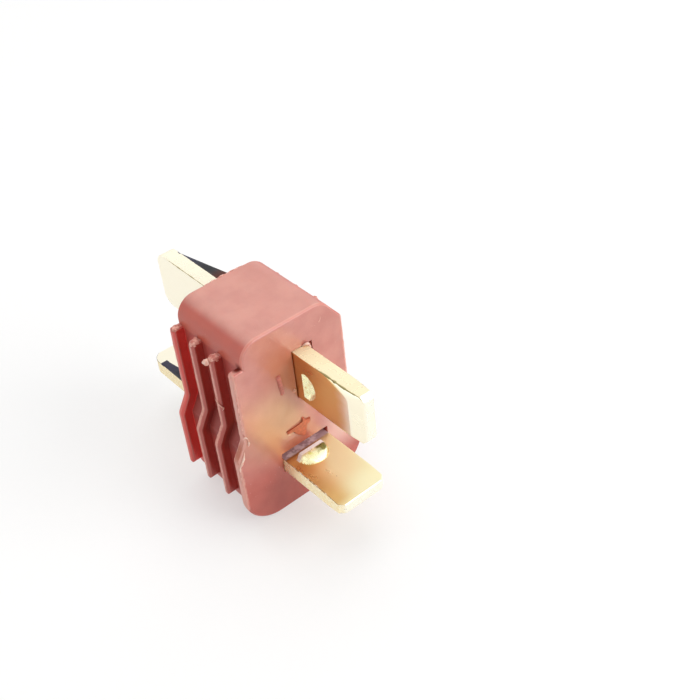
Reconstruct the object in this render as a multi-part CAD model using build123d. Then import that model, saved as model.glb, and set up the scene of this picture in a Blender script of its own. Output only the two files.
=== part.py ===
from build123d import *
import os

# Male T plug: a stepped nylon housing with grip ribs, and two flat contacts set at right angles.
# Millimetres. +Z up, blades point to -Y, broad ribbed sides face -X and +X.
# Origin: middle of the whole plug's outline in X and Y, on the floor in Z.

# Housing
body_height = 16.0          # short end to short end
body_depth = 7.5            # front face to rear face
face_half_top = 4.64        # half width over the flange and ribs, upper part
step_out = 0.79             # each side is this much wider in the lower part
step_top = 8.2              # height at which the side starts to step out
step_bottom = 6.85          # height at which the step ends
core_inset = 0.8            # how far the core lies behind the ribs
top_corner = 1.5            # radius of the core's upper corners
foot_corner = 2.8           # radius of the flange's lower corners
core_foot_corner = 2.0      # radius of the core's lower corners
step_soft = 0.7             # rounding of the two bends in each side
edge_soft = 0.22            # rounding of the housing's outer edges

# Front flange, and grip ribs behind it; the last rib is flush with the rear face
rib_count = 3
rib_thick = 0.65
rib_top = 14.15             # height of the upper ends, of the flange too
rib_bottom = 2.0            # height of the ribs' lower ends; the flange runs down to the floor
rib_end_soft = 0.3          # rounding of the upper ends

# Contacts, both of one pattern
strip_thick = 1.2
blade_width = 4.05
tab_width = 4.75
tab_length = 9.3
tab_corner = 1.0            # radius of the tab's free corners
tip_taper = 2.2             # length of the tapered tip
tip_thick = 0.85            # thickness left at the very tip
tip_corner = 0.4            # corner cut of the tip, seen from its broad side
tongue_width = 2.45         # straight edge of the sheared tongue
tongue_length = 1.35
tongue_height = 0.5         # how far the tongue stands out of the strip
tongue_gap = 0.75           # between the housing's face and the tongue's straight edge
lip_thick = 0.6             # wire lip along one long edge of the tab
lip_height = 1.6            # its height next to the housing
lip_length = 7.9            # it runs out to nothing over this length

# Where the contacts stand in the housing
upright_reach = 7.05        # blade length in front of the face, upper contact
upright_x = 0.77            # middle of its thickness
upright_z = 11.33           # middle of its width
level_reach = 6.35          # blade length in front of the face, lower contact
level_x = 0.17              # middle of its width
level_z = 4.14              # middle of its thickness

# Slots in the housing: a wide mouth at the front, a close fit behind it
slot_gap = 0.06             # round the blade
slot_tongue_gap = 0.5       # on the side where the tongue stands out
slot_depth = 0.7

face_y = upright_reach - (upright_reach + body_depth + tab_length) / 2
rib_pitch = (body_depth - rib_thick) / rib_count
core_half_top = face_half_top - core_inset


def side_outline(half_top, top, bottom, top_radius, bottom_radius):
    """Face in the XZ plane with a step in each side: narrow above, wide below."""
    half_low = half_top + step_out
    right = [(half_low, bottom), (half_low, step_bottom), (half_top, step_top), (half_top, top)]
    left = [(-x, z) for x, z in reversed(right)]
    face = make_face(Polyline(*right, *left, close=True))
    bends = face.vertices().filter_by(lambda v: step_bottom <= v.Y <= step_top)
    face = fillet(bends, step_soft)
    face = fillet(face.vertices().group_by(Axis.Y)[-1], top_radius)
    if bottom_radius:
        face = fillet(face.vertices().group_by(Axis.Y)[0], bottom_radius)
    return face


def standing_plate(outline, y_front, thick):
    """Plate with that outline standing at depth y_front, its front and rear rims rounded."""
    stand = Plane(origin=(0, y_front, 0), x_dir=(1, 0, 0), z_dir=(0, -1, 0))
    slab = extrude(stand * outline, amount=-thick)
    rims = slab.edges().group_by(Axis.Y)
    return fillet(rims[0] + rims[-1], edge_soft)


def corner_web():
    """Web that joins the flange's right upper end to the rounding of the core in one slope."""
    core_round = Pos(core_half_top - top_corner, body_height - top_corner) * Circle(top_corner)
    end_round = Pos(face_half_top - rib_end_soft, rib_top - rib_end_soft) * Circle(rib_end_soft)
    return make_hull(core_round.edges() + end_round.edges())


def moulded_body():
    """Core block, the front flange down to the floor, and the shorter ribs behind it."""
    core = side_outline(core_half_top, body_height, 0, top_corner, core_foot_corner)
    flange = side_outline(face_half_top, rib_top, 0, rib_end_soft, foot_corner) + corner_web()
    rib = side_outline(face_half_top, rib_top, rib_bottom, rib_end_soft, 0)
    body = standing_plate(core, face_y, body_depth) + standing_plate(flange, face_y, rib_thick)
    for i in range(1, rib_count + 1):
        body += standing_plate(rib, face_y + i * rib_pitch, rib_thick)
    return body


def slot():
    """Room for one contact lying flat, with the housing's face at y = 0."""
    low = -strip_thick / 2 - slot_gap
    high = strip_thick / 2 + slot_tongue_gap
    mouth = Pos(0, slot_depth / 2, (low + high) / 2) * Box(
        blade_width + 2 * slot_gap, slot_depth, high - low)
    seat = Pos(0, body_depth / 2, 0) * Box(blade_width, body_depth, strip_thick)
    return mouth + seat


def sheared_tongue():
    """D-shaped tongue: straight edge towards the housing, ramp down towards the tip."""
    chord_y, nose_y = -tongue_gap, -tongue_gap - tongue_length
    bow = ThreePointArc((-tongue_width / 2, chord_y), (0, nose_y), (tongue_width / 2, chord_y))
    letter_d = make_face([bow, Line(bow @ 1, bow @ 0)])
    base = strip_thick / 2
    ramp = make_face(Polyline((nose_y, base), (chord_y, base), (chord_y, base + tongue_height),
                              close=True))
    return extrude(letter_d, amount=base + tongue_height) & extrude(
        Plane.YZ * ramp, amount=tongue_width, both=True)


def wire_lip():
    """Low wall along one edge of the tab, highest at the housing."""
    base = strip_thick / 2
    wall = make_face(Polyline((body_depth, base), (body_depth, base + lip_height),
                              (body_depth + lip_length, base), close=True))
    return Pos(-tab_width / 2, 0, 0) * extrude(Plane.YZ * wall, amount=lip_thick)


def strip(reach):
    """One contact lying flat: blade towards -Y, tongue upwards, housing's face at y = 0."""
    half, wide = blade_width / 2, tab_width / 2
    end = body_depth + tab_length
    plan = make_face(Polyline((-half, -reach), (half, -reach), (half, body_depth),
                              (wide, body_depth), (wide, end), (-wide, end),
                              (-wide, body_depth), (-half, body_depth), close=True))
    plan = fillet(plan.vertices().group_by(Axis.Y)[-1], tab_corner)
    plan = chamfer(plan.vertices().group_by(Axis.Y)[0], tip_corner)
    thin, thick = tip_thick / 2, strip_thick / 2
    side = make_face(Polyline((-reach, -thin), (tip_taper - reach, -thick), (end, -thick),
                              (end, thick), (tip_taper - reach, thick), (-reach, thin), close=True))
    body = extrude(plan, amount=thick, both=True) & extrude(
        Plane.YZ * side, amount=wide, both=True)
    tongue = sheared_tongue()
    return body + tongue - Pos(0, 0, -strip_thick) * tongue + wire_lip()


# The upper contact stands on edge with its tongue towards +X; the lower one lies flat.
upright_place = Pos(upright_x, face_y, upright_z) * Rot(Y=90)
level_place = Pos(level_x, face_y, level_z)

housing = moulded_body() - upright_place * slot() - level_place * slot()

os.makedirs("parts", exist_ok=True)
export_step(housing, "parts/housing.step")
export_step(upright_place * strip(upright_reach), "parts/upright_contact.step")
export_step(level_place * strip(level_reach), "parts/level_contact.step")
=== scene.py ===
"""Dresses a male T-shaped battery plug: red nylon housing, gold contacts, moulding marks, studio.

Sizes are in millimetres in the plug's own frame: +Z up, blades towards -Y, floor at Z = 0.
"""

import logging
import math
import random
from collections.abc import Callable, Sequence
from dataclasses import dataclass, field
from enum import Enum
from functools import reduce

import bmesh
import bpy
from mathutils import Matrix, Vector, noise

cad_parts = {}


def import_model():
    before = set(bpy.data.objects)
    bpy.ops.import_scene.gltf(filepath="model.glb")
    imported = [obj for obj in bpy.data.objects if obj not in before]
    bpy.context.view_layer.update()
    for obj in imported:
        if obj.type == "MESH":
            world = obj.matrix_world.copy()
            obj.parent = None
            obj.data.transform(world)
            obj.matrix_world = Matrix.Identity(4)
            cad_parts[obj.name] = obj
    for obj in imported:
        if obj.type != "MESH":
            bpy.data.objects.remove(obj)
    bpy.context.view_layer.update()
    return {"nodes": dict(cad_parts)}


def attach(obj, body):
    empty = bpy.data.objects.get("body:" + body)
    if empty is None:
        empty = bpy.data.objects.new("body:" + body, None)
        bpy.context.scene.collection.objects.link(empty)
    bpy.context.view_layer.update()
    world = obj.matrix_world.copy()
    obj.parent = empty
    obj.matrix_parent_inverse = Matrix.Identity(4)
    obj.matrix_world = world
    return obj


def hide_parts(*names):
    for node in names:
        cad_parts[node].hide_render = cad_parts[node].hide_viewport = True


LOG = logging.getLogger("plug")
BODY = "root"
MM = 0.001
METRE = 1000.0     # depth of a relief whose height is read in metres
FRONT = -4.875     # Y of the housing's front face
DEPTH = 7.5        # from there to the rear face
RIB_THICK = 0.65   # flange and ribs, along Y
RIB_COUNT = 3      # ribs behind the flange
RIB_PITCH = (DEPTH - RIB_THICK) / RIB_COUNT
RIB_TOP = 14.15    # upper ends of flange and ribs
ROUND_CUT = 0.293  # share of its radius that a rounded corner cuts off along each side
WELD = 1e-5        # points nearer than this are one
TINY = 1e-6        # a shorter run has no direction

Colour = tuple[float, float, float]
Point = tuple[float, float, float]
Socket = bpy.types.NodeSocket
Value = Socket | float
Tone = Socket | Colour
Coat = tuple[Value, Tone]
Range = tuple[float, float]
Material = bpy.types.Material


def direction(azimuth: float, elevation: float) -> Vector:
    """Unit vector from the plug to a bearing in degrees: azimuth 0 is ahead of the blades, 90 at +X."""
    a, e = math.radians(azimuth), math.radians(elevation)
    return Vector((math.sin(a) * math.cos(e), -math.cos(a) * math.cos(e), math.sin(e)))


def steps(start: float, stop: float, pitch: float) -> list[float]:
    """Even stations from start to stop, both included and at most a pitch apart."""
    count = max(1, math.ceil(abs(stop - start) / pitch))
    return [start + (stop - start) * i / count for i in range(count + 1)]


# Materials


class NodeSheet:
    """Wires the nodes of one procedural material. Places and distances run through it in metres."""

    def __init__(self, name: str) -> None:
        """Starts a material.

        Args:
            name: the material's name.
        """
        self.material = bpy.data.materials.new(name)
        self.material.use_nodes = True
        self.tree = self.material.node_tree
        self.shader = self.tree.nodes["Principled BSDF"]
        self.output = self.tree.nodes["Material Output"]
        reader = self.add("ShaderNodeTexCoord")
        self.place = reader.outputs["Object"]
        self.x, self.y, self.z = self.split(self.place)
        self.facing = self.split(reader.outputs["Normal"])

    def add(self, kind: str, **settings: object) -> bpy.types.Node:
        """Adds a node.

        Args:
            kind: Blender's name of the node type.
            **settings: properties to set on it.

        Returns:
            The node.
        """
        node = self.tree.nodes.new(kind)
        for name, value in settings.items():
            setattr(node, name, value)
        return node

    def split(self, vector: Socket) -> list[Socket]:
        """The three parts of a vector.

        Args:
            vector: the vector's socket.

        Returns:
            The sockets of its X, Y and Z.
        """
        axes = self.add("ShaderNodeSeparateXYZ")
        self.tree.links.new(vector, axes.inputs[0])
        return list(axes.outputs)

    def feed(self, target: Socket, value: "Value | Sequence[float]") -> None:
        """Links a socket into an input, or writes a plain value there.

        Args:
            target: the input socket.
            value: an output socket, a number or a colour.
        """
        if isinstance(value, bpy.types.NodeSocket):
            self.tree.links.new(value, target)
        elif isinstance(value, (int, float)):
            target.default_value = value
        else:
            size = len(target.default_value)
            target.default_value = (*value, 1.0)[:size]

    def maths(self, operation: str, *values: Value) -> Socket:
        """One sum.

        Args:
            operation: Blender's name of the operation.
            *values: the one to three values it works on.

        Returns:
            The result's socket.
        """
        node = self.add("ShaderNodeMath", operation=operation)
        for target, value in zip(node.inputs, values):
            self.feed(target, value)
        return node.outputs[0]

    def both(self, *masks: Value) -> Socket:
        """Product of several masks."""
        return reduce(lambda first, second: self.maths("MULTIPLY", first, second), masks)

    def ahead(self) -> Socket:
        """How far a place lies in front of the housing's face."""
        return self.maths("SUBTRACT", FRONT * MM, self.y)

    def distance(self, centre: Point) -> Socket:
        """How far a place lies from a point.

        Args:
            centre: the point, in millimetres.

        Returns:
            The distance's socket.
        """
        node = self.add("ShaderNodeVectorMath", operation="DISTANCE")
        self.feed(node.inputs[0], self.place)
        self.feed(node.inputs[1], [c * MM for c in centre])
        return node.outputs["Value"]

    def mottle(self, size: float, detail: float = 3.0, stretch: Point = (1, 1, 1)) -> Socket:
        """Noise with spots of a given size.

        Args:
            size: spot size in millimetres.
            detail: octaves of finer noise.
            stretch: how much longer the spots are along X, Y and Z.

        Returns:
            The noise value's socket.
        """
        mapping = self.add("ShaderNodeMapping")
        self.feed(mapping.inputs["Vector"], self.place)
        mapping.inputs["Scale"].default_value = tuple(1 / (size * MM * s) for s in stretch)
        cloud = self.add("ShaderNodeTexNoise")
        for name, setting in (("Vector", mapping.outputs[0]), ("Scale", 1.0), ("Detail", detail)):
            self.feed(cloud.inputs[name], setting)
        return cloud.outputs["Fac"]

    def ramp(self, value: Socket, low: float, high: float, out_low: Value = 0.0, out_high: Value = 1.0,
             shape: str = "SMOOTHSTEP") -> Socket:
        """Smooth step of a value from one level to another.

        Args:
            value: what is read.
            low: reading that gives out_low.
            high: reading that gives out_high.
            out_low: result at and below low.
            out_high: result at and above high.
            shape: Blender's name of the curve between them.

        Returns:
            The result's socket.
        """
        node = self.add("ShaderNodeMapRange", interpolation_type=shape)
        for name, setting in zip(("Value", "From Min", "From Max", "To Min", "To Max"),
                                 (value, low, high, out_low, out_high)):
            self.feed(node.inputs[name], setting)
        return node.outputs[0]

    def fade(self, value: Socket, low: float, high: float, *outs: Value, **shape: str) -> Socket:
        """Ramp of a distance, with its two readings given in millimetres."""
        return self.ramp(value, low * MM, high * MM, *outs, **shape)

    def band(self, value: Socket, low: float, high: float, soft: float) -> Socket:
        """Mask that is 1 between two readings in millimetres and fades over soft outside them."""
        return self.both(self.fade(value, low - soft, low), self.fade(value, high + soft, high))

    def patch(self, centre: Point, reach: float, share: float = 1.0) -> Socket:
        """Soft round mask: share near a point in millimetres, 0 from reach outwards."""
        return self.fade(self.distance(centre), reach, 0.15 * reach, 0.0, share)

    def blend(self, share: Value, first: Tone, second: Tone) -> Socket:
        """Mix of two colours.

        Args:
            share: 0 for the first colour, 1 for the second.
            first: first colour.
            second: second colour.

        Returns:
            The mixed colour's socket.
        """
        node = self.add("ShaderNodeMix", data_type="RGBA")
        for name, value in (("Factor", share), (6, first), (7, second)):
            self.feed(node.inputs[name], value)
        return node.outputs[2]

    def coat(self, under: Tone, *coats: Coat) -> Socket:
        """Lays coats of colour over one another, from below to above, each where its mask is."""
        return reduce(lambda colour, coat: self.blend(coat[0], colour, coat[1]), coats, under)

    def finish(self, *layers: tuple[Socket, float], **sockets: "Value | Sequence[float]") -> Material:
        """Feeds the shader and stacks bump layers under it.

        Args:
            *layers: height sockets of the bumps, each with its depth in millimetres.
            **sockets: value or socket of each shader input, named in lower case with underscores.

        Returns:
            The material.
        """
        normal = None
        for height, depth in layers:
            node = self.add("ShaderNodeBump")
            self.feed(node.inputs["Height"], height)
            self.feed(node.inputs["Distance"], depth * MM)
            if normal:
                self.feed(node.inputs["Normal"], normal)
            normal = node.outputs[0]
        for name, value in {**sockets, "normal": normal}.items():
            words = name.replace("_", " ").title().replace("Ior", "IOR")
            self.feed(self.shader.inputs[words], value)
        return self.material


def seen_directly(tree: bpy.types.NodeTree) -> Socket:
    """Mask of the rays by which lens, gloss and glass see a thing.

    Args:
        tree: the node tree of a material or world.

    Returns:
        The mask's socket.
    """
    ray = tree.nodes.new("ShaderNodeLightPath")
    seen = ray.outputs["Is Camera Ray"]
    for name in ("Is Glossy Ray", "Is Transmission Ray"):
        either = tree.nodes.new("ShaderNodeMath")
        either.operation = "MAXIMUM"
        tree.links.new(seen, either.inputs[0])
        tree.links.new(ray.outputs[name], either.inputs[1])
        seen = either.outputs[0]
    return seen


def mix_shaders(tree: bpy.types.NodeTree, share: Socket, shaders: Sequence[bpy.types.Node],
                output: bpy.types.Node) -> None:
    """Sends a mix of two shaders to the output.

    Args:
        tree: the node tree of a material or world.
        share: 0 for the first shader, 1 for the second.
        shaders: the two shaders.
        output: the tree's output node.
    """
    mix = tree.nodes.new("ShaderNodeMixShader")
    tree.links.new(share, mix.inputs[0])
    for target, shader in zip(mix.inputs[1:], shaders):
        tree.links.new(shader.outputs[0], target)
    tree.links.new(mix.outputs[0], output.inputs["Surface"])


@dataclass(frozen=True)
class Outline:
    """Stepped outline shared by the housing's front flange and grip ribs."""

    half_top: float = 4.64
    step_out: float = 0.79
    step_top: float = 8.2
    step_bottom: float = 6.85
    bend: float = 0.19

    def half(self, z: float) -> float:
        """Half width at a height, its two bends rounded.

        Args:
            z: height above the floor.

        Returns:
            The half width.
        """
        window = [z + self.bend * k / 4 for k in range(-4, 5)]
        rise = self.step_top - self.step_bottom
        shares = [min(1.0, max(0.0, (self.step_top - w) / rise)) for w in window]
        return self.half_top + self.step_out * sum(shares) / len(shares)

    def depth(self, sheet: NodeSheet) -> Socket:
        """How far a place lies inside the outline's straight sides.

        Args:
            sheet: the material being wired.

        Returns:
            The depth's socket.
        """
        wide = (self.half_top + self.step_out) * MM
        half = sheet.fade(sheet.z, self.step_bottom, self.step_top, wide, self.half_top * MM, shape="LINEAR")
        return sheet.maths("SUBTRACT", half, sheet.maths("ABSOLUTE", sheet.x))


@dataclass(frozen=True)
class Spot:
    """Soft round patch of another colour on the moulding."""

    centre: Point
    reach: float
    share: float
    tone: Colour

    def coat(self, sheet: NodeSheet, where: Socket) -> Coat:
        """The patch as a coat, kept to a mask of the faces that carry it."""
        return sheet.both(sheet.patch(self.centre, self.reach, self.share), where), self.tone


@dataclass(frozen=True)
class NylonFinish:
    """Red moulded nylon: matt sides, shiny front, painted sheen on the top and the front's upper part,
    painted shade between the ribs and in the nooks.
    """

    base: Colour = (0.500, 0.092, 0.062)
    deep: Colour = (0.445, 0.070, 0.047)
    groove_shade: Colour = (0.410, 0.052, 0.038)
    # painted shade: deeper red in the grooves between the ribs
    lit: Colour = (0.800, 0.075, 0.062)
    # painted sheen: pale pink laid on the top and the front's upper part
    painted_sheen_tone: Colour = (0.800, 0.500, 0.420)
    outer: Colour = (0.420, 0.095, 0.072)
    # painted shade: deeper, more saturated red on the core's left-facing side
    left_shade_red: Colour = (0.620, 0.110, 0.060)
    # pale rims and specks: partly wear, partly painted highlight along the rims and the face's edge
    wear_and_highlight: Colour = (0.860, 0.440, 0.350)
    # painted shade in the nooks between the ribs and in the notch behind the flange's top
    corner_shade: Colour = (0.200, 0.030, 0.022)
    # painted reflection: yellowish light thrown onto the face by the gold blades
    painted_warm_reflection: Spot = Spot((-1.6, FRONT, 8.0), 4.4, 0.34, (0.780, 0.460, 0.210))
    # painted shade on the face left of the upright blade's root
    blade_root_shade: Spot = Spot((-0.7, FRONT, 12.4), 2.9, 0.62, (0.520, 0.150, 0.070))
    # painted reflection: the face paler right of the level blade
    pale: Spot = Spot((3.7, FRONT, 4.6), 3.2, 0.85, (0.800, 0.500, 0.420))
    shoulder: Spot = Spot((-5.05, FRONT + 0.33, 7.4), 1.3, 1.0, (0.500, 0.120, 0.055))
    # painted shade in the notch where the flange's top meets the core
    notch_shade_centre: Point = (-4.00, FRONT + 0.38, 14.20)
    notch_shade_reach: float = 0.50
    # shares and height band of the painted sheen
    top_sheen_share: float = 0.44
    front_sheen_share: float = 0.33
    sheen_height: Range = (3.0, 8.5)
    grain: float = 0.10
    grain_depth: float = 0.010
    flow: float = 1.7
    flow_depth: float = 0.016
    rough: Range = (0.42, 0.52)
    front_rough: float = 0.15
    front_turn: Range = (-0.80, -0.98)
    ior: float = 1.75
    bleed: Point = (1.0, 0.22, 0.14)
    groove: float = 0.80
    groove_metallic: float = 0.38
    nook_depth: Range = (0.5, 0.9)
    nook_height: Range = (6.7, 7.8)
    rag: float = 0.22
    skin: float = 0.16
    rim_run: Range = (0.46, 0.85)
    shoulder_run: Range = (0.14, 0.50)
    edge_run: Range = (0.07, 0.18)
    last_rib: float = RIB_COUNT * RIB_PITCH

    def sheen_faces(self, sheet: NodeSheet) -> Socket:
        """Mask of the painted sheen: the top, and the front's upper part, paler where the light falls on
        them.

        Args:
            sheet: the material being wired.

        Returns:
            The mask's socket.
        """
        top = sheet.ramp(sheet.facing[2], 0.70, 0.98, 0.0, self.top_sheen_share)
        ahead = sheet.ramp(sheet.facing[1], -0.6, -0.95)
        front = sheet.both(ahead, sheet.fade(sheet.z, *self.sheen_height, 0.0, self.front_sheen_share))
        return sheet.maths("MAXIMUM", top, front)

    def rib_coats(self, sheet: NodeSheet, depth: Socket, behind: Socket, between: Socket) -> list[Coat]:
        """Coats of the ribbed sides: painted shade in the nooks, a glowing last rib, a darker tone on the
        outer faces, and rims pale with wear and painted highlight.

        Args:
            sheet: the material being wired.
            depth: how far a place lies inside the outline.
            behind: how far it lies behind the front face.
            between: mask of the grooves between the ribs.

        Returns:
            The coats, from below to above.
        """
        # painted shade in the nooks where the outline steps between the ribs
        nook_shade = sheet.both(sheet.band(behind, RIB_THICK + 0.1, self.last_rib, 0.1),
                          sheet.band(depth, *self.nook_depth, 0.15),
                          sheet.band(sheet.z, *self.nook_height, 0.9), 0.5)
        glow = sheet.both(between, sheet.band(behind, self.last_rib - 0.05, self.last_rib + 0.70, 0.1), 0.85)
        ragged = sheet.maths("MULTIPLY", sheet.mottle(0.45, 4.0), self.rag * MM)
        skin = sheet.fade(sheet.maths("SUBTRACT", depth, ragged), self.skin, 0.0, 0.0, 0.85)
        skin = sheet.both(skin, sheet.fade(behind, self.last_rib + 0.1, self.last_rib, 0.40, 1.0))
        cell = sheet.maths("MODULO", behind, RIB_PITCH * MM)
        rear_rim = sheet.band(sheet.maths("ADD", cell, ragged), *self.rim_run, 0.16)
        worn = sheet.ramp(sheet.mottle(0.22, 3.0), 0.38, 0.62, 0.70, 1.0)
        flange = sheet.fade(behind, RIB_THICK + 0.05, RIB_THICK)
        # pale rear rims of the ribs and the flange's side: partly wear, partly painted highlight
        rims = sheet.both(skin, sheet.maths("MAXIMUM", sheet.both(rear_rim, worn), flange), 0.8)
        return [(nook_shade, self.corner_shade), (glow, self.lit), (skin, self.outer), (rims, self.wear_and_highlight)]

    def spot_coats(self, sheet: NodeSheet, depth: Socket, behind: Socket) -> list[Coat]:
        """Coats of single places: a brownish patch on the flange's step, painted shade on the core's left
        side, painted reflections and a painted shade on the face, a painted highlight along its edge, and
        pale specks.

        Args:
            sheet: the material being wired.
            depth: how far a place lies inside the outline.
            behind: how far it lies behind the front face.

        Returns:
            The coats, from below to above.
        """
        # painted shade: the core's left-facing side above the ribs in deeper red
        left = sheet.both(sheet.ramp(sheet.facing[0], -0.45, -0.85), sheet.fade(depth, 0.5, 0.7),
                          sheet.fade(sheet.z, RIB_TOP - 0.2, RIB_TOP + 0.2), 0.5)
        front = sheet.ramp(sheet.facing[1], *self.front_turn)
        # painted highlight along the face's outer edge
        edge = sheet.both(sheet.band(behind, *self.edge_run, 0.06), sheet.fade(depth, 0.5, 0.9), 0.35)
        speck = sheet.ramp(sheet.mottle(0.16, 2.0), 0.70, 0.80, 0.0, 0.30)
        # the three patches on the face are painted light: two reflections and the shade by the upright
        # blade's root
        return [self.shoulder.coat(sheet, sheet.band(behind, *self.shoulder_run, 0.05)), (left, self.left_shade_red),
                *(spot.coat(sheet, front) for spot in (self.painted_warm_reflection, self.blade_root_shade, self.pale)),
                (edge, self.wear_and_highlight), (speck, self.wear_and_highlight)]

    def body(self, outline: Outline) -> Material:
        """Finish of the whole moulding.

        Args:
            outline: where the outer faces lie, pale with wear and painted highlight.

        Returns:
            The material.
        """
        sheet = NodeSheet("red_nylon_body")
        drift = sheet.mottle(self.flow, 4.0)
        depth = outline.depth(sheet)
        behind = sheet.maths("SUBTRACT", sheet.y, FRONT * MM)
        # grooves between the ribs, painted a deeper shade red
        between = sheet.both(sheet.fade(depth, self.groove + 0.06, self.groove - 0.02),
                             sheet.fade(behind, RIB_THICK, RIB_THICK + 0.1),
                             sheet.fade(sheet.z, RIB_TOP + 0.1, RIB_TOP - 0.25))
        # painted sheen on the top and the upper front, varied by the flow noise
        painted_sheen = sheet.both(self.sheen_faces(sheet), sheet.ramp(drift, 0.2, 0.8, 0.85, 1.15))
        # painted shade in the notch behind the flange's top
        notch_shade = sheet.patch(self.notch_shade_centre, self.notch_shade_reach)
        colour = sheet.coat(self.deep, (sheet.ramp(drift, 0.32, 0.68), self.base), (painted_sheen, self.painted_sheen_tone),
                            (between, self.groove_shade), *self.rib_coats(sheet, depth, behind, between),
                            *self.spot_coats(sheet, depth, behind), (notch_shade, self.corner_shade))
        rough = sheet.ramp(drift, 0.2, 0.8, *self.rough)
        # metallic in the grooves and the notch keeps the white sheen off their painted shade
        return sheet.finish(
            (drift, self.flow_depth), (sheet.mottle(self.grain, 3.0), self.grain_depth), base_color=colour,
            metallic=sheet.maths("MAXIMUM", sheet.both(between, self.groove_metallic), notch_shade), ior=self.ior,
            roughness=sheet.ramp(sheet.facing[1], *self.front_turn, rough, self.front_rough),
            subsurface_weight=0.25, subsurface_scale=0.5 * MM, subsurface_radius=self.bleed)


@dataclass(frozen=True)
class TwoTone:
    """Spots of one colour in another, for small marks and burrs."""

    name: str
    deep: Colour
    pale: Colour
    spot: float = 0.30
    detail: float = 4.0
    stretch: Point = (1, 1, 1)
    edge: Range = (0.35, 0.65)
    rough: Range = (0.50, 0.36)
    metallic: float = 0.0
    ior: float = 1.53
    sheen: float = 0.10
    grain: float = 0.12
    grain_depth: float = 0.020

    def material(self) -> Material:
        """The finish as a material.

        Returns:
            The material.
        """
        sheet = NodeSheet(self.name)
        patch = sheet.ramp(sheet.mottle(self.spot, self.detail, self.stretch), *self.edge)
        return sheet.finish((sheet.mottle(self.grain, 3.0), self.grain_depth), metallic=self.metallic,
                            base_color=sheet.blend(patch, self.deep, self.pale), sheen_weight=self.sheen,
                            roughness=sheet.ramp(patch, 0.0, 1.0, *self.rough), ior=self.ior)


@dataclass(frozen=True)
class SignFinish(TwoTone):
    """Raised polarity sign: glossy, a little deeper than the face round it."""

    spot: float = 0.25
    detail: float = 3.0
    rough: Range = (0.30, 0.42)
    sheen: float = 0.0
    grain: float = 0.10
    grain_depth: float = 0.012


@dataclass(frozen=True)
class TornFinish(TwoTone):
    """Torn burr along a shear line: brass brown with bright flakes."""

    spot: float = 0.20
    detail: float = 3.0
    stretch: Point = (1, 1.6, 1)
    edge: Range = (0.44, 0.56)
    rough: Range = (0.50, 0.30)
    metallic: float = 0.5
    ior: float = 1.5
    sheen: float = 0.0
    grain: float = 0.10
    grain_depth: float = 0.012


class Zone(Enum):
    """Differently finished zones of a stamped contact."""

    FACE = 0
    SHEARED = 1
    TONGUE = 2
    LIP = 3
    RECESS = 4


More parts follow.
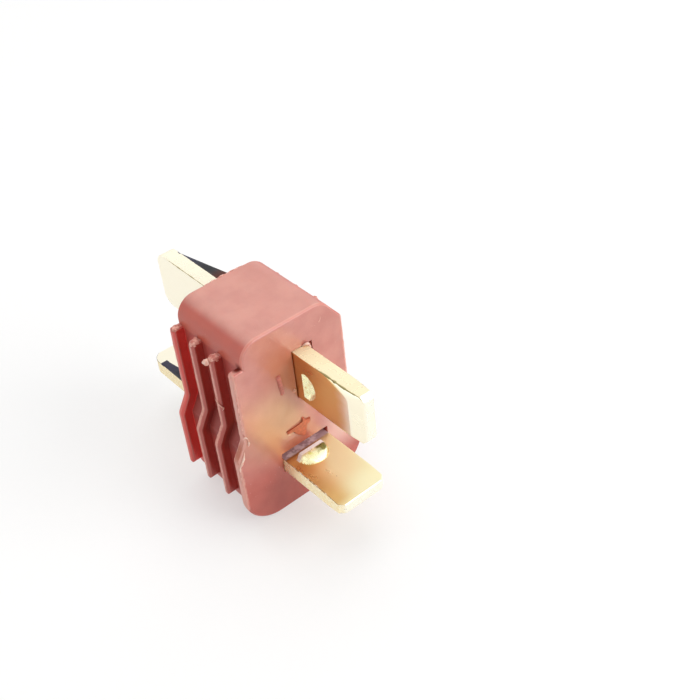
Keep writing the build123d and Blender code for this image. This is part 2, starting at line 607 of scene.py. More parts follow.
@dataclass(frozen=True)
class GoldFinish:
    """Thin bright gold over rolled brass, with sheared edges; many of its colours are painted reflections and
    shade, and the lip is painted dark.
    """

    bright: Colour = (0.870, 0.630, 0.270)
    # painted reflection: the red housing seen in the gold near the blade roots
    painted_warm_reflection: Colour = (0.780, 0.460, 0.160)
    # pale at the tips and on the tab: painted reflection and highlight; also the sheared edge's ground and
    # the torn burr's flakes
    pale: Colour = (0.985, 0.930, 0.760)
    matt: Colour = (0.900, 0.830, 0.500)
    golden: Colour = (0.760, 0.500, 0.200)
    # painted cream reflection along the upright's crest
    cream: Colour = (0.990, 0.930, 0.730)
    sheared: Colour = (0.985, 0.940, 0.790)
    butter: Colour = (0.950, 0.830, 0.560)
    # painted reflection with bright glints on the left-facing sheared sides
    honey: Colour = (0.950, 0.760, 0.420)
    straw: Colour = (1.000, 0.900, 0.620)
    torn: Colour = (0.820, 0.580, 0.300)
    lemon: Colour = (0.985, 0.955, 0.580)
    ivory: Colour = (1.000, 0.970, 0.620)
    lime: Colour = (0.860, 0.860, 0.260)
    moss: Colour = (0.550, 0.460, 0.180)
    olive: Colour = (0.230, 0.190, 0.045)
    # painted highlight along the tongue's cut
    white: Colour = (1.000, 0.980, 0.960)
    # painted dark reflection on the lip's outer face, brown near the housing
    slate: Colour = (0.034, 0.035, 0.038)
    steel: Colour = (0.055, 0.055, 0.085)
    darkest_mottle: Colour = (0.050, 0.050, 0.060)
    brown: Colour = (0.120, 0.035, 0.024)
    shade: Colour = (0.900, 0.700, 0.720)
    gloom: Colour = (0.560, 0.360, 0.380)
    # dark bead tones: painted dark line along the upright's blade and tab edges
    dark_line_burr: tuple[Colour, Colour] = ((0.220, 0.180, 0.060), (0.420, 0.360, 0.150))
    smear: Point = (0.72, FRONT - 1.15, 5.05)
    wander: float = 1.6
    bright_run: Range = (1.2, 4.6)
    pale_run: Range = (5.0, 6.5)
    satin_run: Range = (2.2, 4.6)
    satin_slant: Range = (-0.6, 1.6)
    satin_lead: float = 2.6
    golden_run: Range = (6.6, 5.6)
    golden_side: Range = (0.4, -1.5)
    # run over which the sheared edge darkens towards the housing
    housing_dark_run: Range = (4.0, 0.8)
    cut: Range = (1.12, 1.02)
    up: Range = (0.6, 0.9)
    left: Range = (-0.6, -0.85)
    mouth_run: Range = (0.32, 0.10)
    moss_height: Range = (11.3, 11.8)
    brown_run: Range = (4.2, 2.4)
    steel_run: Range = (4.6, 7.0)
    tilt: float = 0.30
    recess_tilt: float = 0.5
    upright_height: Range = (7.0, 8.0)
    roll_line: float = 14.25
    roll_slope: float = 0.29
    roll_tip: float = 5.55
    roll_gain: float = 0.7
    roll_soft: float = 0.5
    roll_turn: float = -0.36

    def behind(self, sheet: NodeSheet, ahead: Socket, share: float = 1.0) -> Socket:
        """Mask of the solder tab behind the housing."""
        return sheet.fade(ahead, -DEPTH, -(DEPTH + 0.5), 0.0, share)

    def crest(self, sheet: NodeSheet, ahead: Socket) -> Socket:
        """Roll along the upright blade's upper edge and round its tip, which the face's finish gives a bump
        and a painted cream reflection.

        Args:
            sheet: the material being wired.
            ahead: how far a place lies in front of the housing.

        Returns:
            How far the place lies past the line where the roll starts, 0 before it.
        """
        over = sheet.maths("MULTIPLY_ADD", ahead, self.roll_slope, sheet.z)
        over = sheet.maths("SUBTRACT", over, self.roll_line * MM)
        tip = sheet.maths("MULTIPLY", sheet.maths("SUBTRACT", ahead, self.roll_tip * MM), self.roll_gain)
        crest = sheet.maths("SMOOTH_MAX", over, tip, self.roll_soft * MM)
        return sheet.both(sheet.maths("MAXIMUM", crest, 0.0), sheet.fade(sheet.z, *self.upright_height))

    def face(self) -> Material:
        """Rolled face with streaks and dull patches; its colours are painted reflections: browner near the
        housing, pale towards the tip, cream along the upright's crest.

        Returns:
            The material.
        """
        sheet = NodeSheet("gold_rolled_face")
        patch = sheet.mottle(1.3, 4.0, (1, 2.5, 1))
        streak = sheet.mottle(0.12, 1.0, (1, 20, 1))
        ahead = sheet.ahead()
        up = sheet.ramp(sheet.facing[2], *self.up)
        drift = sheet.maths("MULTIPLY_ADD", patch, self.wander * MM, ahead)
        slant = sheet.fade(sheet.x, *self.satin_slant)
        lead = sheet.maths("MULTIPLY_ADD", slant, self.satin_lead * MM, drift)
        satin = sheet.both(up, sheet.fade(lead, *self.satin_run))
        golden = sheet.both(up, sheet.fade(sheet.x, *self.golden_side), sheet.fade(ahead, *self.golden_run))
        crest = self.crest(sheet, ahead)
        # painted reflection: cream band along the upright's crest on its left-facing side
        rolled = sheet.both(sheet.fade(crest, 0.0, 0.25), sheet.ramp(sheet.facing[0], *self.left))
        # painted shade and reflection on the blade's upper face inside the slot mouth
        hidden = sheet.both(sheet.fade(ahead, *self.mouth_run), up, sheet.fade(ahead, -1.2, -0.8))
        slot_shade = sheet.blend(sheet.ramp(sheet.mottle(0.5, 3.0), 0.42, 0.58), self.gloom, self.shade)
        # painted reflections: browner near the housing, pale towards the tip; the tab behind the housing
        # painted pale, as brightly lit
        colour = sheet.coat(
            self.painted_warm_reflection, (sheet.fade(drift, *self.bright_run), self.bright),
            (sheet.fade(drift, *self.pale_run), self.pale), (sheet.both(satin, 0.9), self.matt),
            (sheet.both(golden, 0.85), self.golden), (rolled, self.cream),
            (self.behind(sheet, ahead), self.pale), (hidden, slot_shade))
        dull = sheet.both(satin, sheet.ramp(golden, 0.0, 1.0, 0.5, 0.15))
        dull = sheet.maths("MAXIMUM", dull, sheet.both(hidden, 0.9))
        return sheet.finish(
            (sheet.maths("MULTIPLY", crest, self.roll_turn), METRE), (patch, 0.010), (streak, 0.0020),
            base_color=colour, metallic=sheet.maths("SUBTRACT", 1.0, dull),
            roughness=sheet.ramp(patch, 0.25, 0.75, 0.38, 0.26))

    def edge(self) -> Material:
        """Sheared edge: pale and burnished, with torn speckles along the burr; the left-facing sides carry a
        painted reflection with bright glints, and the edge darkens towards the housing.

        Returns:
            The material.
        """
        sheet = NodeSheet("gold_sheared_edge")
        tear = sheet.mottle(0.16, 4.0)
        cloud = sheet.mottle(0.9, 3.0)
        ahead = sheet.ahead()
        # darker towards the housing
        near = sheet.both(sheet.fade(ahead, *self.housing_dark_run, 0.0, 0.35), sheet.fade(ahead, -1.0, -0.5))
        # painted reflection: colours and more metal on the left-facing sheared sides only
        left = sheet.ramp(sheet.facing[0], -0.5, -0.8)
        flake = sheet.ramp(sheet.mottle(0.13, 3.0, (1, 1.6, 1)), 0.36, 0.54)
        colour = sheet.coat(
            self.pale, (sheet.ramp(cloud, 0.35, 0.65), self.sheared),
            (sheet.ramp(sheet.facing[2], *self.up), self.butter),
            (sheet.ramp(tear, 0.40, 0.30, 0.0, 0.15), self.torn),
            (self.behind(sheet, ahead, 0.7), self.sheared),
            (left, sheet.blend(flake, self.honey, self.straw)), (near, self.torn))
        return sheet.finish(
            (sheet.maths("MULTIPLY", sheet.y, self.tilt), METRE), (cloud, 0.012), base_color=colour,
            metallic=sheet.ramp(left, 0.0, 1.0, 0.45, 0.75),
            roughness=sheet.ramp(cloud, 0.3, 0.7, 0.34, 0.22))

    def tongue(self) -> Material:
        """Strained plating on the lanced tongue: lemon yellow, lime and olive, with a painted white highlight
        along its cut.

        Returns:
            The material.
        """
        sheet = NodeSheet("gold_strained_tongue")
        cloud = sheet.mottle(0.75, 2.0)
        reach = sheet.maths("MULTIPLY_ADD", sheet.mottle(0.42, 3.0), MM, sheet.distance(self.smear))
        # painted highlight along the tongue's cut edge
        crest = sheet.fade(sheet.ahead(), *self.cut)
        colour = sheet.coat(self.lemon, (sheet.ramp(cloud, 0.40, 0.30), self.lime),
                            (sheet.fade(reach, 1.12, 0.90), self.olive), (crest, self.white))
        return sheet.finish(
            (sheet.mottle(0.14, 3.0), 0.012), base_color=colour,
            metallic=sheet.ramp(crest, 0.0, 1.0, 0.60, 0.10),
            roughness=sheet.ramp(cloud, 0.3, 0.7, 0.22, 0.34))

    def recess(self) -> Material:
        """Bottom of the recess behind a tongue: cream and pitted, with an olive smear.

        Returns:
            The material.
        """
        sheet = NodeSheet("gold_pitted_recess")
        pits = sheet.mottle(0.30, 4.0)
        smear = sheet.ramp(sheet.mottle(0.35, 2.0), 0.64, 0.70, 0.0, 0.8)
        smear = sheet.both(smear, sheet.fade(sheet.z, *self.moss_height))
        colour = sheet.coat(self.torn, (sheet.ramp(pits, 0.28, 0.42), self.ivory), (smear, self.moss))
        return sheet.finish(
            (sheet.maths("MULTIPLY", sheet.y, self.recess_tilt), METRE), (pits, 0.015), base_color=colour,
            metallic=0.70, roughness=sheet.ramp(pits, 0.3, 0.7, 0.36, 0.24))

    def lip(self) -> Material:
        """Outer side of the wire lip: painted dark reflection in slate, turning brown near the housing where
        the red housing is reflected.

        Returns:
            The material.
        """
        sheet = NodeSheet("gold_lip_dark_reflection")
        cloud = sheet.mottle(0.5, 3.0)
        near, far = (sheet.fade(sheet.y, *(FRONT + DEPTH + behind for behind in run))
                     for run in (self.brown_run, self.steel_run))
        # painted dark reflection on the lip's outer face
        colour = sheet.coat(self.slate, (near, self.brown), (far, self.steel),
                            (sheet.ramp(cloud, 0.60, 0.85), self.darkest_mottle))
        return sheet.finish((cloud, 0.02), base_color=colour, metallic=0.0, specular_ior_level=0.2,
                            roughness=sheet.ramp(cloud, 0.3, 0.7, 0.70, 0.58))

    def burr(self) -> Material:
        """Smooth burr along the shear line in dull olive: a dark bead that paints the dark line along the
        edge, a reflection on the blade and shade on the tab.

        Returns:
            The material.
        """
        sheet = NodeSheet("gold_dull_burr")
        spot = sheet.mottle(0.5, 3.0)
        return sheet.finish(
            (sheet.mottle(0.10, 3.0), 0.008), base_color=sheet.blend(spot, *self.dark_line_burr), metallic=0.3,
            roughness=sheet.ramp(spot, 0.3, 0.7, 0.5, 0.4))

    def torn_burr(self) -> Material:
        """Torn burr along the shear line."""
        return TornFinish("gold_torn_burr", (0.420, 0.240, 0.080), self.pale).material()

    def zones(self) -> list[Material]:
        """The materials in the order of Zone."""
        return [self.face(), self.edge(), self.tongue(), self.lip(), self.recess()]


@dataclass(frozen=True)
class PaperFinish:
    """White card under the plug. Lens and gloss see it near white, with the soft shadow kept."""

    white: Colour = (0.95, 0.95, 0.95)
    fibre: Colour = (0.97, 0.97, 0.96)
    lift: float = 0.50

    def card(self) -> Material:
        """The floor's finish.

        Returns:
            The material.
        """
        sheet = NodeSheet("white_card")
        fibre = sheet.mottle(0.4, 3.0)
        card = sheet.finish((fibre, 0.01), base_color=sheet.blend(fibre, self.white, self.fibre),
                            roughness=sheet.ramp(fibre, 0.0, 1.0, 0.80, 0.90))
        share = sheet.maths("MULTIPLY", seen_directly(sheet.tree), self.lift)
        mix_shaders(sheet.tree, share, (sheet.shader, sheet.add("ShaderNodeEmission")), sheet.output)
        return card


# Mesh work


def add_piece(name: str, mesh: bmesh.types.BMesh, finishes: Sequence[Material],
              crease: float = 40.0) -> bpy.types.Object:
    """Turns a mesh in millimetres into a named piece of the plug.

    Args:
        name: the piece's name.
        mesh: its mesh, which is freed.
        finishes: its materials in the order of the faces' indices.
        crease: angle in degrees above which an edge stays sharp.

    Returns:
        The object, riding on the plug's body.
    """
    bmesh.ops.remove_doubles(mesh, verts=mesh.verts, dist=WELD)
    bmesh.ops.recalc_face_normals(mesh, faces=mesh.faces)
    bmesh.ops.scale(mesh, vec=(MM, MM, MM), verts=mesh.verts)
    data = bpy.data.meshes.new(name)
    mesh.to_mesh(data)
    mesh.free()
    data.polygons.foreach_set("use_smooth", [True] * len(data.polygons))
    data.set_sharp_from_angle(angle=math.radians(crease))
    for finish in finishes:
        data.materials.append(finish)
    piece = bpy.data.objects.new(name, data)
    bpy.context.scene.collection.objects.link(piece)
    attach(piece, BODY)
    LOG.info("%s: %d faces", name, len(data.polygons))
    return piece


def add_bead(mesh: bmesh.types.BMesh, path: Sequence[Vector], radius: Callable[[int], float],
             sides: int = 6) -> None:
    """Adds a thin round bead along a path, closed at both ends.

    Args:
        mesh: mesh that takes it.
        path: points of its centre line.
        radius: radius at each point, by its number.
        sides: corners of its cross-section.
    """
    rings = []
    side = None
    for i, point in enumerate(path):
        ahead = (path[min(i + 1, len(path) - 1)] - path[max(i - 1, 0)]).normalized()
        if side is None:
            side = ahead.orthogonal()
        side = (side - ahead * side.dot(ahead)).normalized()
        other = ahead.cross(side)
        turns = [math.tau * k / sides for k in range(sides)]
        rings.append([mesh.verts.new(point + (side * math.cos(t) + other * math.sin(t)) * radius(i))
                      for t in turns])
    for low, high in zip(rings, rings[1:]):
        for k in range(sides):
            mesh.faces.new((low[k], low[(k + 1) % sides], high[(k + 1) % sides], high[k]))
    mesh.faces.new(rings[0])
    mesh.faces.new(rings[-1])


def add_lump(mesh: bmesh.types.BMesh, centre: Point, radii: Point, rough: float) -> None:
    """Adds an uneven rounded lump.

    Args:
        mesh: mesh that takes it.
        centre: its middle.
        radii: half sizes along X, Y and Z.
        rough: share by which its radius varies.
    """
    made = bmesh.ops.create_icosphere(mesh, subdivisions=3, radius=1.0)["verts"]
    middle = Vector(centre)
    for vert in made:
        swell = 1 + rough * noise.noise(vert.co * 1.6 + middle * 3.1)
        vert.co = middle + Vector(c * r for c, r in zip(vert.co, radii)) * swell


def ragged(path: Sequence[Vector], size: float, thin: float = 0.12) -> Callable[[int], float]:
    """Uneven radius for a bead along a path.

    Args:
        path: the path's points.
        size: greatest radius.
        thin: smallest share of it that is left.

    Returns:
        The radius by point number, thin at both ends.
    """
    last = len(path) - 1

    def radius(i: int) -> float:
        """Radius at one point.

        Args:
            i: the point's number.

        Returns:
            The radius.
        """
        rough = 0.55 + 0.45 * noise.noise(path[i] * 2.3) + 0.25 * noise.noise(path[i] * 7.1)
        ends = min(1.0, 4 * min(i, last - i) / last + 0.15)
        return size * max(thin, rough) * ends

    return radius


@dataclass
class MouldingMarks:
    """Burrs, flash and lumps that moulding left on the housing."""

    outline: Outline
    finish: Material
    stretched: Material
    face_y: float = FRONT
    depth: float = DEPTH
    rib_thick: float = RIB_THICK
    rib_count: int = RIB_COUNT
    rib_top: float = RIB_TOP
    rib_bottom: float = 2.0
    flange_bottom: float = 3.2
    inset: float = 0.1
    tuck: float = 0.05
    pitch: float = 0.12
    bead: float = 0.052
    swell: float = 1.4
    slot: str = "red_nylon"

    def rib_fronts(self) -> list[float]:
        """Front planes of the flange and of the ribs behind it."""
        return [self.face_y + i * RIB_PITCH for i in range(self.rib_count + 1)]

    def rim(self, side: int, y: float, bottom: float, top: float) -> list[Vector]:
        """Points up an outer rim in the plane y, on the -X side for side -1 and the +X side for 1."""
        return [Vector((side * (self.outline.half(z) - self.tuck), y, z))
                for z in steps(bottom, top, self.pitch)]

    def build_rims(self) -> None:
        """Ragged beads along both rims of the flange, and along the rear rims of the ribs."""
        for number, front in enumerate(self.rib_fronts()):
            mesh = bmesh.new()
            rims = (front + self.inset, front + self.rib_thick - self.inset)
            bottom = self.rib_bottom if number else self.flange_bottom
            if number == self.rib_count:
                bottom = self.outline.step_top
            for side in (-1, 1):
                for y in rims[1:] if number else rims:
                    path = self.rim(side, y, bottom + 0.25, self.rib_top - 0.30)
                    add_bead(mesh, path, ragged(path, self.bead))
            name = f"rib_rim_flash_{number}" if number else "flange_rim_flash"
            add_piece(name, mesh, [self.finish])

    def build_rib_ends(self, finish: Material) -> None:
        """Domes and lumps of trimmed material on the ribs' upper ends.

        Args:
            finish: their material.
        """
        chance = random.Random(11)
        for number, front in list(enumerate(self.rib_fronts()))[1:]:
            mesh = bmesh.new()
            middle = front + self.rib_thick / 2
            for side in (-1, 1):
                centre = (side * (self.outline.half_top - 0.34), middle, self.rib_top - 0.14)
                add_lump(mesh, centre, (0.34, 0.33, 0.26), 0.30)
                for _ in range(5):
                    out = chance.uniform(0.15, 0.6)
                    centre = (side * (self.outline.half_top - out),
                              middle + chance.uniform(-0.18, 0.18), self.rib_top - 0.05)
                    size = chance.uniform(0.10, 0.19)
                    add_lump(mesh, centre, (size, size, size * 0.8), 0.5)
            add_piece(f"rib_end_lumps_{number}", mesh, [finish])

    def build_flash(self) -> None:
        """Loose curls and blobs of flash that the photograph shows."""
        y, rib = self.rib_fronts()[:2]
        mesh = bmesh.new()
        add_lump(mesh, (-4.80, rib + 0.50, 13.86), (0.23, 0.23, 0.25), 0.35)
        curls = [
            ([(-4.72, y, 8.60), (-4.56, y - 0.06, 8.75), (-4.42, y - 0.08, 8.50), (-4.36, y - 0.05, 8.10),
              (-4.40, y, 7.75)], 0.07),
            ([(-4.80, y, 7.50), (-4.98, y - 0.05, 7.05), (-5.18, y - 0.05, 6.70), (-5.33, y + 0.05, 6.30),
              (-5.36, y + 0.1, 5.80)], 0.09),
            ([(-4.66, rib + 0.62, 10.50), (-4.70, rib + 0.30, 10.36), (-4.62, rib - 0.03, 10.12),
              (-4.50, rib - 0.08, 9.96), (-4.62, rib - 0.04, 9.78)], 0.045),
            ([(1.02, y, 13.34), (1.20, y - 0.14, 13.50), (1.42, y - 0.18, 13.46), (1.54, y - 0.12, 13.24),
              (1.62, y - 0.06, 12.98), (1.55, y - 0.03, 12.74)], 0.11),
        ]
        for points, size in curls:
            path = smooth_path([Vector(p) for p in points], 8)
            add_bead(mesh, path, ragged(path, size * self.swell), 8)
        add_lump(mesh, (-0.08, y - 0.02, 10.12), (0.12, 0.10, 0.14), 0.5)
        add_piece("face_flash_curls", mesh, [self.stretched])

    def build_rear_flash(self) -> None:
        """Ragged ridge along the upper rear edge, above the upright tab."""
        y = self.face_y + self.depth
        path = [Vector((x, y - 0.07, 15.93 + 0.03 * noise.noise(Vector((x * 3, 0, 0)))))
                for x in steps(-1.6, 2.2, 0.08)]
        mesh = bmesh.new()
        add_bead(mesh, path, ragged(path, 0.11))
        add_piece("rear_edge_flash", mesh, [self.finish])

    def build_gate_ring(self) -> None:
        """Faint raised ring that the gate or an ejector left high on the face."""
        x, z, radius = 2.35, 14.85, 0.45
        path = [Vector((x + radius * math.cos(a), self.face_y + 0.015, z + radius * math.sin(a)))
                for a in map(math.radians, steps(-200, 60, 8))]
        mesh = bmesh.new()
        add_bead(mesh, path, ragged(path, 0.03))
        add_piece("gate_ring", mesh, [self.finish])


def smooth_path(points: Sequence[Vector], parts: int) -> list[Vector]:
    """Rounds a short run of points into a curve through them.

    Args:
        points: the points it passes.
        parts: pieces between two neighbours.

    Returns:
        The curve's points.
    """
    full = [points[0], *points, points[-1]]
    curve = []
    for a, b, c, d in zip(full, full[1:], full[2:], full[3:]):
        for k in range(parts):
            t = k / parts
            curve.append(0.5 * ((2 * b) + (c - a) * t + (2 * a - 5 * b + 4 * c - d) * t * t
                                + (3 * b - a - 3 * c + d) * t ** 3))
    return [*curve, points[-1]]


class Sign(Enum):
    """Polarity signs beside the blades."""

    MINUS = "minus"
    PLUS = "plus"


@dataclass
class PolarityMark:
    """Raised polarity sign on the front face."""

    sign: Sign
    centre: tuple[float, float]
    finish: Material
    face_y: float = FRONT
    height: float = 0.13
    soft: float = 0.05
    length: float = 1.72
    width: float = 0.35

    def corners(self) -> list[tuple[float, float]]:
        """Outline of the sign about its own centre; the plus is unevenly filled in one quarter, where the
        filling stands for light reflected from the level blade.

        Returns:
            Its corners as X and Z from the centre.
        """
        w, h = self.width / 2, self.length / 2
        if self.sign is Sign.MINUS:
            return [(0.08 - w, -h), (0.08 + w, -h + 0.04), (w - 0.09, h), (-w - 0.09, h - 0.03)]
        return [(-1.04, 0.12), (-1.02, -0.14), (-0.43, -0.13), (-0.42, -0.41), (0.30, -1.07), (0.52, -1.05),
                (0.55, -0.62), (0.62, -0.20), (1.03, -0.11), (1.03, 0.18), (0.54, 0.20), (0.55, 0.48),
                (0.33, 0.60), (0.35, 0.18), (-0.45, 0.14)]

    def build(self) -> None:
        """Makes the sign with its rim rounded."""
        mesh = bmesh.new()
        rings = [[mesh.verts.new((self.centre[0] + x, y, self.centre[1] + z)) for x, z in self.corners()]
                 for y in (self.face_y + 0.05, self.face_y - self.height)]
        count = len(rings[0])
        for k in range(count):
            mesh.faces.new((rings[0][k], rings[0][(k + 1) % count], rings[1][(k + 1) % count], rings[1][k]))
        mesh.faces.new(rings[0])
        top = mesh.faces.new(rings[1])
        bmesh.ops.bevel(mesh, geom=[*top.edges, *top.verts], offset=self.soft, segments=3, affect="EDGES")
        bmesh.ops.triangulate(mesh, faces=[f for f in mesh.faces if len(f.verts) > 4])
        add_piece(f"{self.sign.value}_sign", mesh, [self.finish], 60.0)


# Contacts


def unit(run: Vector) -> Vector:
    """Unit vector along a run, zero where it has no length."""
    return run.normalized() if run.length > TINY else Vector((0, 0))


class Stand(Enum):
    """How a contact stands in the housing."""

    UPRIGHT = "upright"
    LEVEL = "level"


@dataclass
class Contact:
    """Stamped contact: blade with a tapered tip and lanced tongue, and solder tab with a lip."""

    stand: Stand
    centre: tuple[float, float]
    reach: float
    finishes: list[Material]
    face_y: float = FRONT
    body_depth: float = DEPTH
    thick: float = 1.2
    blade_width: float = 4.05
    tab_width: float = 4.75
    tab_length: float = 9.3
    tab_corner: float = 1.0
    tip_taper: float = 2.2
    tip_thick: float = 0.85
    tip_corner: float = 0.4
    tongue_width: float = 2.45
    tongue_length: float = 1.35
    tongue_height: float = 0.5
    tongue_gap: float = 0.75
    tongue_flat: float = 0.26
    tongue_side: float = 0.30
    tongue_shift: float = -0.14
    recess_shift: float = 0.40
    recess_width: float = 2.10
    recess_flat: float = 0.26
    recess_ramp: float = 0.35
    roll_depth: float = 0.04
    roll_width: float = 0.75
    roll_start: float = 1.2
    roll_run: float = 2.0
    lip_thick: float = 0.6
    lip_height: float = 1.6
    lip_length: float = 7.9
    round: float = 0.09
    burr: float = 0.018
    end: float = field(init=False)

    def __post_init__(self) -> None:
        """Works out where the tab ends."""
        self.end = self.body_depth + self.tab_length

    def half_width(self, y: float) -> float:
        """Half width at a station.

        Args:
            y: distance behind the housing's face.

        Returns:
            Half the strip's width there.
        """
        if y <= self.body_depth:
            return self.blade_width / 2 - max(0.0, self.tip_corner - (y + self.reach))
        half = self.tab_width / 2
        past = max(0.0, y - (self.end - self.tab_corner))
        return half - self.tab_corner + math.sqrt(max(0.0, self.tab_corner ** 2 - past ** 2))

    def half_thick(self, y: float) -> float:
        """Half the strip's thickness at a distance behind the housing's face."""
        share = min(1.0, (y + self.reach) / self.tip_taper)
        return (self.tip_thick + (self.thick - self.tip_thick) * math.sin(share * math.pi / 2)) / 2

    def lip(self, y: float) -> float:
        """Height of the wire lip above the strip at a distance behind the housing's face."""
        run = y - self.body_depth
        return self.lip_height * (1 - run / self.lip_length) if 0 < run < self.lip_length else 0.0

    def swell(self, x: float, y: float, below: bool) -> float:
        """How far the lanced tongue lifts the strip at a point.

        Args:
            x: place across the strip.
            y: distance behind the housing's face.
            below: whether the point is on the side with the recess.

        Returns:
            The lift, 0 outside the tongue.
        """
        if y > -self.tongue_gap:
            return 0.0
        x -= self.recess_shift if below else self.tongue_shift
        half, bow = (self.recess_width if below else self.tongue_width) / 2, self.tongue_length
        radius = (half ** 2 + bow ** 2) / (2 * bow)
        inside = radius - math.hypot(x, y + self.tongue_gap + bow - radius)
        if inside <= 0:
            return 0.0
        if below:
            inside += 0.05 * noise.noise(Vector((x * 2.0, y * 2.0, 4.0)))
            ramp = (-self.tongue_gap - y) / self.recess_ramp
            return self.recess_flat * min(1.0, max(0.0, inside) / self.tongue_side, ramp)
        climb = min(1.0, (y + self.tongue_gap + bow) / (bow - self.tongue_flat))
        side = min(1.0, inside / self.tongue_side)
        return self.tongue_height * min(math.sin(climb * math.pi / 2), math.sin(side * math.pi / 2))

    def stations(self) -> list[float]:
        """Where the strip's section is taken.

        Returns:
            Distances behind the housing's face, in order.
        """
        chord, nose = -self.tongue_gap, -self.tongue_gap - self.tongue_length
        tip = -self.reach + self.tip_taper
        rear, last = self.body_depth, self.end - self.tab_corner
        step = 0.004
        runs = [steps(-self.reach, tip, 0.06), steps(tip, nose, 0.14), steps(nose, chord - step, 0.05),
                steps(chord + step, 0, 0.12), steps(0, rear, 0.9), steps(rear + step, last, 0.15),
                steps(last, self.end, 0.06)]
        return sorted({round(y, 5) for run in runs for y in run})

    def section(self, y: float, inset: float = 0.0) -> list[tuple[float, float, Zone]]:
        """Closed section of the strip at a station.

        Args:
            y: distance behind the housing's face.
            inset: how far it is drawn in, for the rounded ends.

        Returns:
            Points across and through the strip, each with the zone of the face after it.
        """
        w, h, lip = self.half_width(y) - inset, self.half_thick(y) - inset, self.lip(y)
        inner = -w + self.lip_thick
        corners = [((-w, -h), 36, Zone.FACE, True), ((w, -h), 7, Zone.SHEARED, True),
                   ((w, h), 32, Zone.FACE, True), ((inner, h), 3, Zone.FACE, False),
                   ((inner, h + lip), 5, Zone.LIP if lip > 0 else Zone.FACE, lip > 0.05),
                   ((-w, h + lip), 3, Zone.LIP, True),
                   ((-w, h), 7, Zone.SHEARED, False)]
        points: list[tuple[float, float, Zone]] = []
        count = len(corners)
        for k, (corner, parts, zone, rounded) in enumerate(corners):
            here, ahead = Vector(corner), Vector(corners[(k + 1) % count][0])
            soft, soft_ahead = self.round * rounded, self.round * corners[(k + 1) % count][3]
            along = unit(ahead - here)
            start, stop = here + along * soft, ahead - along * soft_ahead
            if rounded:
                bend = here + (along - unit(here - Vector(corners[k - 1][0]))) * soft * ROUND_CUT
                points.append((bend.x, bend.y, zone))
            for i in range(parts + 1):
                spot = start.lerp(stop, i / parts)
                points.append((spot.x, spot.y, zone))
        return points

    def surface(self, x: float, y: float, z: float, zone: Zone) -> tuple[Vector, Zone]:
        """Puts tongue and torn edge on a plain section point.

        Args:
            x: place across the strip.
            y: distance behind the housing's face.
            z: place through the strip.
            zone: zone of the plain strip there.

        Returns:
            The finished point in the strip's own frame, and its zone.
        """
        lift = self.swell(x, y, z < 0) if zone is Zone.FACE else 0.0
        if lift > 0.03:
            zone = Zone.TONGUE if z > 0 else Zone.RECESS
        if zone is Zone.SHEARED and abs(y) > 0.05:
            torn = 0.15 + 0.85 * (z > 0.30)
            x += self.burr * torn * noise.noise(Vector((x * 0.5, y * 3.7, z * 3.1)))
        near = 1 - (x + self.half_width(y)) / self.roll_width
        if z < 0 and near > 0:
            started = min(1.0, max(0.0, (-y - self.roll_start) / self.roll_run))
            lift += self.roll_depth * started * near ** 2
        return Vector((x, y, z + lift)), zone

    def seated(self, point: Vector) -> Vector:
        """Moves a point from the strip's frame to the plug's.

        Args:
            point: point with the strip lying flat.

        Returns:
            The point in the plug's frame.
        """
        x, z = self.centre
        if self.stand is Stand.UPRIGHT:
            return Vector((x + point.z, self.face_y + point.y, z - point.x))
        return Vector((x + point.x, self.face_y + point.y, z + point.z))

    def build(self) -> bpy.types.Object:
        """Skins the sections and closes both ends.

        Returns:
            The contact, standing for its CAD node.
        """
        mesh = bmesh.new()
        stations = self.stations()
        soft = self.round
        sections = [(y, 0.0) for y in stations[1:-1]]
        sections = [(stations[0], soft), (stations[0] + 0.3 * soft, 0.3 * soft), *sections,
                    (self.end - 0.3 * soft, 0.3 * soft), (self.end, soft)]
        rings, zones = [], []
        for y, inset in sorted(sections):
            dressed = [self.surface(x, y, z, zone) for x, z, zone in self.section(y, inset)]
            rings.append([mesh.verts.new(self.seated(p)) for p, _ in dressed])
            zones.append([zone for _, zone in dressed])
        count = len(rings[0])
        for i in range(len(rings) - 1):
            for k in range(count):
                near = (k + 1) % count
                face = mesh.faces.new((rings[i][k], rings[i][near], rings[i + 1][near], rings[i + 1][k]))
                face.material_index = zones[i][k].value
        for ring in (rings[0], rings[-1]):
            face = mesh.faces.new(ring)
            face.material_index = Zone.SHEARED.value
        bmesh.ops.triangulate(mesh, faces=[f for f in mesh.faces if len(f.verts) > 4])
        piece = add_piece(f"{self.stand.value}_blade_strip", mesh, self.finishes, 32.0)
        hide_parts(f"{self.stand.value}_contact")
        return piece

    def build_burr(self, part: str, side: int, run: tuple[float, float], size: float,
                   finish: Material) -> None:
        """Adds the burr that shearing left along one long edge.

        Args:
            part: name of the part of the strip that carries it.
            side: 1 on the side where the tongue stands out, -1 on the other.
            run: where it starts and ends, as distances behind the housing's face.
            size: greatest radius.
            finish: its material.
        """
        tuck = 0.03
        path = []
        for y in steps(*run, 0.07):
            edge, _ = self.surface(tuck - self.half_width(y), y, side * (self.half_thick(y) - tuck), Zone.LIP)
            path.append(self.seated(edge))
        mesh = bmesh.new()
        add_bead(mesh, path, ragged(path, size, 0.4), 6)
        add_piece(f"{self.stand.value}_{part}_burr", mesh, [finish])


# Housing


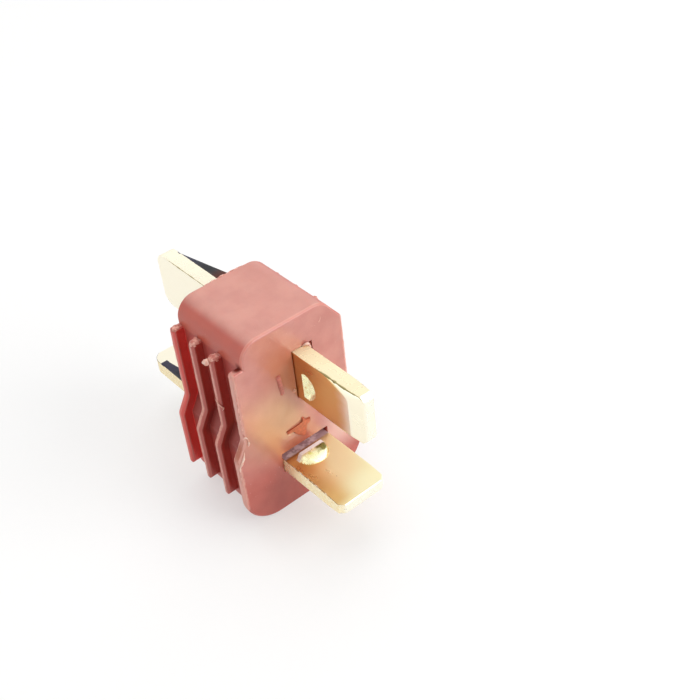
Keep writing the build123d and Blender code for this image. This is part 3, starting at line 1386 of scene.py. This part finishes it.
@dataclass
class Housing:
    """The red moulding with its signs and moulding marks."""

    node: bpy.types.Object
    outline: Outline = field(default_factory=Outline)
    nylon: NylonFinish = field(default_factory=NylonFinish)
    minus: TwoTone = SignFinish("red_nylon_minus", (0.495, 0.150, 0.120), (0.660, 0.200, 0.160))
    # the plus's redder, yellower tone is partly its own and partly a painted reflection of the level blade's
    # light
    plus: TwoTone = SignFinish("red_nylon_plus", (0.480, 0.105, 0.045), (0.640, 0.140, 0.060))
    rim: TwoTone = TwoTone("red_nylon_rim", (0.560, 0.200, 0.150), (0.860, 0.480, 0.390))
    flash: TwoTone = TwoTone("red_nylon_flash", (0.800, 0.400, 0.300), (0.920, 0.660, 0.550))
    trim: TwoTone = TwoTone("red_nylon_trim", (0.520, 0.140, 0.105), (0.860, 0.460, 0.370))

    def dress(self) -> None:
        """Gives the moulding its nylon finish."""
        finish = self.nylon.body(self.outline)
        self.node.data.materials.clear()
        self.node.data.materials.append(finish)
        LOG.info("housing: dressed in %s", finish.name)

    def build(self) -> None:
        """Adds the signs and the marks that moulding left."""
        PolarityMark(Sign.MINUS, (-1.14, 11.26), self.minus.material(), width=0.30).build()
        PolarityMark(Sign.PLUS, (-0.185, 6.87), self.plus.material()).build()
        marks = MouldingMarks(self.outline, self.rim.material(), self.flash.material())
        marks.build_rims()
        marks.build_rib_ends(self.trim.material())
        marks.build_flash()
        marks.build_rear_flash()
        marks.build_gate_ring()


# Studio


@dataclass(frozen=True)
class SoftBox:
    """Square lamp aimed at the plug."""

    name: str
    azimuth: float
    elevation: float
    distance: float
    size: float
    watts: float
    mirrored: bool = True

    def build(self, aim: Vector) -> None:
        """Hangs the lamp.

        Args:
            aim: point in metres that it faces.
        """
        data = bpy.data.lights.new(self.name, "AREA")
        data.shape = "SQUARE"
        data.size = self.size * MM
        data.energy = self.watts
        lamp = bpy.data.objects.new(self.name, data)
        lamp.visible_glossy = self.mirrored
        towards = direction(self.azimuth, self.elevation)
        lamp.location = aim + towards * self.distance * MM
        lamp.rotation_mode = "QUATERNION"
        lamp.rotation_quaternion = (-towards).to_track_quat("-Z", "Y")
        bpy.context.scene.collection.objects.link(lamp)


@dataclass(frozen=True)
class ViewPoint:
    """Camera where the photograph's lens stood."""

    place: Point = (-30.367, -51.727, 58.389)
    azimuth: float = -37.0587
    elevation: float = 39.1022
    roll: float = -5.8208
    lens: float = 55.31
    sensor: float = 36.0

    def build(self) -> None:
        """Makes the camera and gives it to the scene."""
        data = bpy.data.cameras.new("camera")
        data.lens = self.lens
        data.sensor_width = self.sensor
        data.clip_start = MM
        back = direction(self.azimuth, self.elevation)
        level = Vector((math.cos(math.radians(self.azimuth)), math.sin(math.radians(self.azimuth)), 0.0))
        above = back.cross(level)
        roll = math.radians(self.roll)
        right = level * math.cos(roll) + above * math.sin(roll)
        up = above * math.cos(roll) - level * math.sin(roll)
        camera = bpy.data.objects.new("camera", data)
        turn = Matrix((right, up, back)).transposed().to_4x4()
        camera.matrix_world = Matrix.Translation(Vector(self.place) * MM) @ turn
        bpy.context.scene.collection.objects.link(camera)
        bpy.context.scene.camera = camera


@dataclass
class Studio:
    """White card, soft lamps, even surround and the camera."""

    card: float = 900.0
    surround: float = 0.35
    tint: Colour = (1.0, 0.99, 0.98)
    aim: Point = (0.0, 0.0, 8.0)
    lamps: tuple[SoftBox, ...] = (
        SoftBox("over_back_lamp", 150.0, 66.0, 320.0, 360.0, 0.68, False),
        SoftBox("front_right_lamp", 32.0, 30.0, 300.0, 220.0, 0.58),
        SoftBox("left_fill_lamp", -100.0, 25.0, 300.0, 300.0, 0.10),
    )

    def build_card(self) -> None:
        """Floor that carries the soft shadow."""
        mesh = bmesh.new()
        bmesh.ops.create_grid(mesh, x_segments=8, y_segments=8, size=self.card * MM / 2)
        data = bpy.data.meshes.new("white_card")
        mesh.to_mesh(data)
        mesh.free()
        data.materials.append(PaperFinish().card())
        card = bpy.data.objects.new("white_card", data)
        bpy.context.scene.collection.objects.link(card)

    def build_surround(self) -> None:
        """Even light from all round, which lens and gloss see as white."""
        world = bpy.data.worlds.new("surround")
        world.use_nodes = True
        bpy.context.scene.world = world
        tree = world.node_tree
        tree.nodes.clear()
        light, white = (tree.nodes.new("ShaderNodeBackground") for _ in range(2))
        light.inputs["Color"].default_value = (*self.tint, 1.0)
        light.inputs["Strength"].default_value = self.surround
        white.inputs["Color"].default_value = (1.0, 1.0, 1.0, 1.0)
        mix_shaders(tree, seen_directly(tree), (light, white), tree.nodes.new("ShaderNodeOutputWorld"))

    def build(self) -> None:
        """Sets up floor, light and camera."""
        bpy.context.scene.view_settings.view_transform = "Standard"
        self.build_card()
        self.build_surround()
        for lamp in self.lamps:
            lamp.build(Vector(self.aim) * MM)
        ViewPoint().build()
        LOG.info("studio: card, %d lamps, surround and camera", len(self.lamps))


def main() -> None:
    """Builds the studio, dresses the housing and makes the contacts."""
    logging.basicConfig(level=logging.INFO, format="%(name)s %(message)s")
    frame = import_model()
    Studio().build()
    housing = Housing(frame["nodes"]["housing"])
    housing.dress()
    housing.build()
    gold = GoldFinish()
    burr, torn = gold.burr(), gold.torn_burr()
    upright = Contact(Stand.UPRIGHT, (0.77, 11.33), 7.05, gold.zones())
    upright.build()
    # dark beads painted as the dark line along the upright blade's and tab's edges
    upright.build_burr("blade", -1, (-6.9, -2.4), 0.12, burr)
    upright.build_burr("tab", -1, (7.7, 15.4), 0.05, burr)
    level = Contact(Stand.LEVEL, (0.17, 4.14), 6.35, upright.finishes)
    level.build()
    level.build_burr("blade", 1, (-6.2, -0.15), 0.07, torn)


if __name__ == "__main__":
    main()
